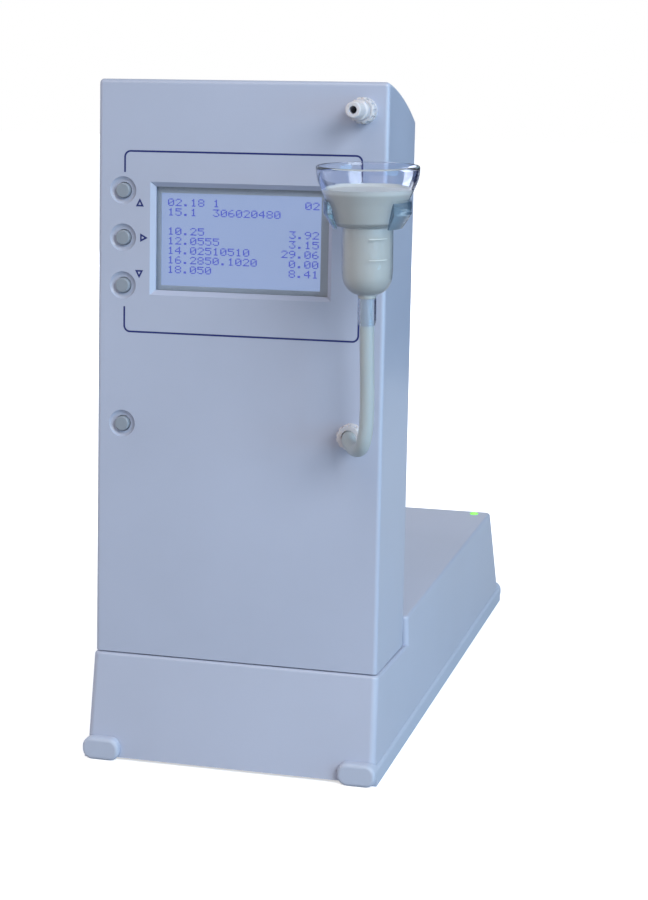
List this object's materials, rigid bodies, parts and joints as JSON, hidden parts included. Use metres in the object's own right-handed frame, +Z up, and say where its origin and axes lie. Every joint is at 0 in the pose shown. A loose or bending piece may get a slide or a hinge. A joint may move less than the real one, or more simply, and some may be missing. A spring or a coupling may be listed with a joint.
{
  "type": "milk analyzer",
  "caption": "Bench milk analyzer: leaning display column with keys on a long base, hose fittings, and a clear sample cup in a C-shaped collar.",
  "frame": {"origin": "on the bench, in the middle of the footprint, half way between the runners and between their ends", "axes": "+X to the right of someone who faces the display, +Y to the rear, +Z up"},
  "size_m": [0.1524, 0.3221, 0.2996],
  "materials": {
    "front_shell": "fine moulded satin, pale lilac grey",
    "column_shell": "fine moulded satin, pale lilac grey",
    "base_shell": "fine moulded satin, pale lilac grey",
    "bottom_plate": "moulded matt",
    "runner": "soft satin, slightly lighter than the shell",
    "key_cap": "grey matt key cap",
    "white_acetal": "white machined acetal",
    "steel_screw": "zinc-plated steel",
    "clear_pane": "clear acrylic sheet",
    "clear_cup": "clear moulded plastic",
    "clear_collar": "clear moulded plastic",
    "bezel_metal": "grey pressed sheet",
    "lcd_screen": "lit screen with dots",
    "backlight": "white light guide",
    "circuit_board": "green glass-fibre laminate",
    "black_component": "black moulded components",
    "silicone_hose": "translucent silicone hose",
    "green_lamp": "green lit lamp",
    "black_plastic": "black moulded plastic",
    "connector_metal": "nickel-plated shell",
    "laminated_steel": "varnished steel sheets",
    "cell_aluminium": "milled aluminium",
    "transducer_metal": "turned stainless case",
    "heater_film": "orange polyimide heater film"
  },
  "bodies": {
    "root": {"base_housing": "base_shell", "base_plate": "bottom_plate", "base_screws": "steel_screw", "board_parts": "black_component", "board_screws": "steel_screw", "bracket_screws": "steel_screw", "cell_bracket": "cell_aluminium", "cell_heater": "heater_film", "cell_nipples": "white_acetal", "column_housing": "column_shell", "column_screws": "steel_screw", "cover_screws": "steel_screw", "cup_holder": "clear_collar", "display_pane": "clear_pane", "front_cover": "front_shell", "hose": "silicone_hose", "inlet_pins": "steel_screw", "key_switches": "black_component", "lcd_backlight": "backlight", "lcd_bezel": "bezel_metal", "lcd_board": "circuit_board", "lcd_glass": "lcd_screen", "left_runner": "runner", "lower_inner_hose": "silicone_hose", "lower_lock_nut": "white_acetal", "lower_port": "white_acetal", "lower_ring_nut": "white_acetal", "lower_transducer": "transducer_metal", "main_board": "circuit_board", "measuring_cell": "cell_aluminium", "power_inlet": "black_plastic", "power_switch": "black_plastic", "right_runner": "runner", "serial_port": "connector_metal", "serial_posts": "steel_screw", "small_screws": "steel_screw", "status_led": "green_lamp", "switch_board": "circuit_board", "temperature_probe": "steel_screw", "transformer_coil": "black_component", "transformer_core": "laminated_steel", "upper_inner_hose": "silicone_hose", "upper_lock_nut": "white_acetal", "upper_port": "white_acetal", "upper_ring_nut": "white_acetal", "upper_transducer": "transducer_metal"},
    "up_button": {"up_button": "key_cap", "up_plunger": "white_acetal"},
    "right_button": {"right_button": "key_cap", "right_plunger": "white_acetal"},
    "down_button": {"down_button": "key_cap", "down_plunger": "white_acetal"},
    "menu_button": {"menu_button": "key_cap", "menu_plunger": "white_acetal"},
    "rocker": {"power_rocker": "black_plastic"},
    "cup": {"sample_cup": "clear_cup"}
  },
  "joints": [
    {"name": "up_press", "type": "slide", "parent": "root", "child": "up_button", "axis": [0, 0.9977, -0.0685], "range_m": [0, 0.0007], "stiffness_N_per_m": 900, "springref_m": -0.001},
    {"name": "right_press", "type": "slide", "parent": "root", "child": "right_button", "axis": [0, 0.9977, -0.0685], "range_m": [0, 0.0007], "stiffness_N_per_m": 900, "springref_m": -0.001},
    {"name": "down_press", "type": "slide", "parent": "root", "child": "down_button", "axis": [0, 0.9977, -0.0685], "range_m": [0, 0.0007], "stiffness_N_per_m": 900, "springref_m": -0.001},
    {"name": "menu_press", "type": "slide", "parent": "root", "child": "menu_button", "axis": [0, 0.9977, -0.0685], "range_m": [0, 0.0007], "stiffness_N_per_m": 900, "springref_m": -0.001},
    {"name": "power_rock", "type": "hinge", "parent": "root", "child": "rocker", "pos_m": [-0.004, 0.13398, 0.02875], "axis": [-1, 0, 0], "range_deg": [0, 20]},
    {"name": "cup_lift", "type": "slide", "parent": "root", "child": "cup", "axis": [0, 0, 1], "range_m": [0, 0.016]}
  ]
}
